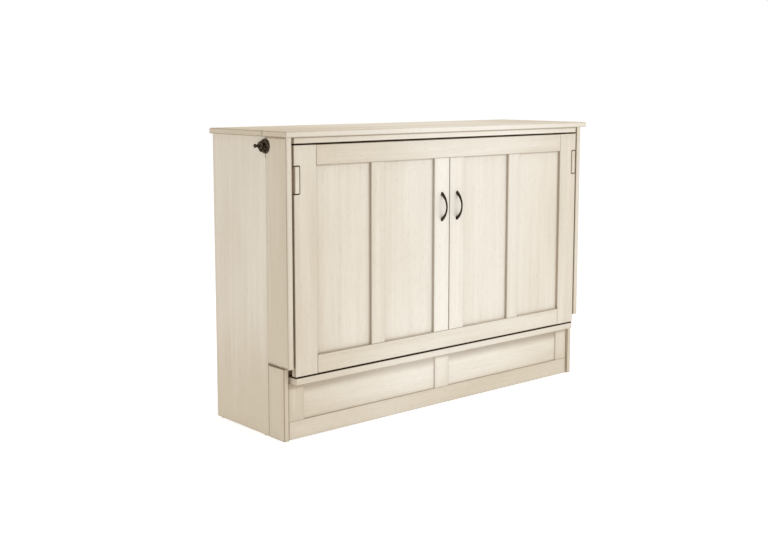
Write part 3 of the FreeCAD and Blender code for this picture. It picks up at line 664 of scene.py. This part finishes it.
def swell(mesh):
    """Blows the cover up between its seams as cloth under light pressure."""
    cover = new_piece("cover", mesh)
    rest = [vert.co.copy() for vert in mesh.vertices]
    held = cover.vertex_groups.new(name="sewn")
    held.add([n for n, place in enumerate(rest) if sewn(place)], 1.0, "REPLACE")
    cloth = cover.modifiers.new("cover", "CLOTH")
    cloth.settings.quality = 4
    cloth.settings.mass = 0.25
    cloth.settings.tension_stiffness = 12
    cloth.settings.compression_stiffness = 12
    cloth.settings.bending_stiffness = 0.4
    cloth.settings.use_pressure = True
    cloth.settings.uniform_pressure_force = 4.0
    cloth.settings.vertex_group_mass = held.name
    cloth.settings.effector_weights.gravity = 0.0
    for step in range(1, swell_frames + 1):
        bpy.context.scene.frame_set(step)
    swollen = worked_mesh(cover)
    for vert, start in zip(swollen.vertices, rest):
        moved = vert.co - start
        if moved.length > loft:
            vert.co = start + moved.normalized() * loft
    bpy.context.scene.frame_set(1)
    return swollen


def quilted_knit():
    """White knit with stitched diamonds, painted shade along each seam and a darker border at the
    rim.
    """
    material, shader, place = new_finish("quilted_knit")
    middle = (slab_low + slab_high) / 2
    x, _, z = place.parts()
    x = x - middle.x
    z = z - middle.z
    thread = seam_dip_shade = None
    for across, along in ((x + z, x - z), (x - z, x + z)):
        turn = across * (1 / quilt_pitch)
        gap = abs(turn - turn.math("ROUND", turn)) * (quilt_pitch / math.sqrt(2))
        stitches = along * (1 / stitch_length)
        on_top = stitches.math("FRACT", stitches).fade(0.30, 0.42)
        here = gap.fade(thread_reach, 0.375 * thread_reach) * on_top
        thread = here if thread is None else thread.larger(here)
        dip = gap.fade(dip_reach, 0.0)
        seam_dip_shade = dip if seam_dip_shade is None else seam_dip_shade.larger(dip)
    loops = place.noise(900.0, UP, stretch=2.0, detail=2.0)
    slubs = place.noise(45.0, ACROSS, stretch=3.0)
    border = (abs(z) - slab_size.z / 2 + rim).larger(abs(x) - slab_size.x / 2 + rim)
    colour = slubs.fade(0.35, 0.65).between(knit_white, knit_cream)
    # Painted shade in the dip along each quilting seam.
    colour = (seam_dip_shade * 0.24).between(colour, dip_shadow)
    colour = (loops.fade(0.45, 0.70) * 0.35).between(colour, loop_shadow)
    colour = border.fade(0.0, border_fade).between(colour, dip_shadow)
    colour = (thread * 0.8).between(colour, quilt_thread)
    colour.feed(shader, "Base Color")
    (0.82 + loops * 0.12).feed(shader, "Roughness")
    (loops * 0.6 - thread).relief(0.0008, 0.4).feed(shader, "Normal")
    shader.inputs["Sheen Weight"].default_value = 0.25
    shader.inputs["Sheen Roughness"].default_value = 0.5
    return material


def piping_round(name, y):
    """Corded edge round one face of a slab, as a closed tube with rounded corners."""
    half = slab_size / 2 - Vector((1.0, 0.0, 1.0)) * (loft + piping_inset)
    spots = []
    for order, (right, top) in enumerate([(1, 1), (-1, 1), (-1, -1), (1, -1)]):
        beside = Vector((right * half.x, y, top * (half.z - piping_corner)))
        above = Vector((right * (half.x - piping_corner), y, top * half.z))
        spots += [beside, above] if order % 2 == 0 else [above, beside]
    line = bpy.data.curves.new(name, "CURVE")
    line.dimensions = "3D"
    line.bevel_depth = piping_radius
    line.bevel_resolution = 3
    route = line.splines.new("BEZIER")
    route.bezier_points.add(len(spots) - 1)
    for knot, spot in zip(route.bezier_points, spots):
        knot.co = spot
        knot.handle_left_type = knot.handle_right_type = "AUTO"
    route.use_cyclic_u = True
    return worked_mesh(new_piece(name, line))


slab_mesh = foam_slab()
slab_mesh = swell(slab_mesh)
knit = quilted_knit()
cord_cloth, shader, place = new_finish("piping_cloth")
twill = place.noise(700.0, ACROSS, stretch=3.0, detail=2.0)
twill.fade(0.4, 0.7).between(piping_tan, piping_shadow).feed(shader, "Base Color")
(0.75 + twill * 0.2).feed(shader, "Roughness")
for section in sections:
    low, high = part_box(section)
    to_place = Matrix.Translation((low + high) / 2)
    slab = new_piece(section + "_cover", slab_mesh.copy())
    slab.data.transform(to_place)
    slab.data.materials.append(knit)
    slab.data.polygons.foreach_set("use_smooth", [True] * len(slab.data.polygons))
    rounder = slab.modifiers.new("rounder", "SUBSURF")
    rounder.levels = rounder.render_levels = 1
    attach(slab, "rear_cabinet")
    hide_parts(section)
    for face, side in (("front", -1), ("rear", 1)):
        name = f"{section}_{face}_piping"
        cord = new_piece(name, piping_round(name, side * (slab_size.y / 2 - piping_depth)))
        cord.data.transform(to_place)
        cord.data.materials.append(cord_cloth)
        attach(cord, "rear_cabinet")

# Studio: a pale floor, soft light from the front right and from above, and the camera at the
# height and distance that the photograph was taken from.
floor_reach = 40.0
floor_white = shade(250, 250, 249)
floor_dust = shade(246, 246, 244)
floor_glow = (0.94, 1.0, 1.10, 1.0)
floor_shape = bmesh.new()
bmesh.ops.create_grid(floor_shape, x_segments=1, y_segments=1, size=floor_reach)
floor = shaped_piece("floor", floor_shape)
pale, shader, place = new_finish("pale_floor")
place.noise(2.0).between(floor_white, floor_dust).feed(shader, "Base Color")
shader.inputs["Roughness"].default_value = 0.8
shader.inputs["Emission Color"].default_value = floor_glow
shader.inputs["Emission Strength"].default_value = 0.50
floor.data.materials.append(pale)

room_light = (0.607, 0.56, 0.497, 1.0)
white = (1.0, 1.0, 1.0, 1.0)
studio = bpy.data.worlds.new("studio")
studio.use_nodes = True
backdrop = studio.node_tree.nodes["Background"]
seen = Signal(studio.node_tree).node("LightPath", out="Is Camera Ray")
seen.between(room_light, white).feed(backdrop, "Color")
bpy.context.scene.world = studio
bpy.context.scene.view_settings.view_transform = "Standard"


def softbox(name, place, aim, width, power, tint):
    lamp = bpy.data.lights.new(name, "AREA")
    lamp.size = width
    lamp.energy = power
    lamp.color = tint
    box = bpy.data.objects.new(name, lamp)
    box.location = place
    box.rotation_euler = (Vector(aim) - Vector(place)).to_track_quat("-Z", "Y").to_euler()
    box.visible_camera = False
    bpy.context.scene.collection.objects.link(box)


softbox("key", place=(1.5, -3.3, 2.2), aim=(0.25, -0.2, 0.75), width=1.8, power=20.5,
        tint=(0.93, 1.0, 1.09))
softbox("above", place=(0.0, 0.0, 3.4), aim=(0.0, 0.0, 0.0), width=2.5, power=26.0,
        tint=(1.0, 1.0, 1.0))

tilt_down = 7.205
turn_right = 40.486
lens = bpy.data.cameras.new("camera")
lens.lens = 53.287
lens.shift_y = -0.06
camera = bpy.data.objects.new("camera", lens)
camera.location = (-3.2142, -3.5828, 1.3350)
camera.rotation_euler = (math.radians(90 - tilt_down), 0.0, math.radians(-turn_right))
bpy.context.scene.collection.objects.link(camera)
bpy.context.scene.camera = camera
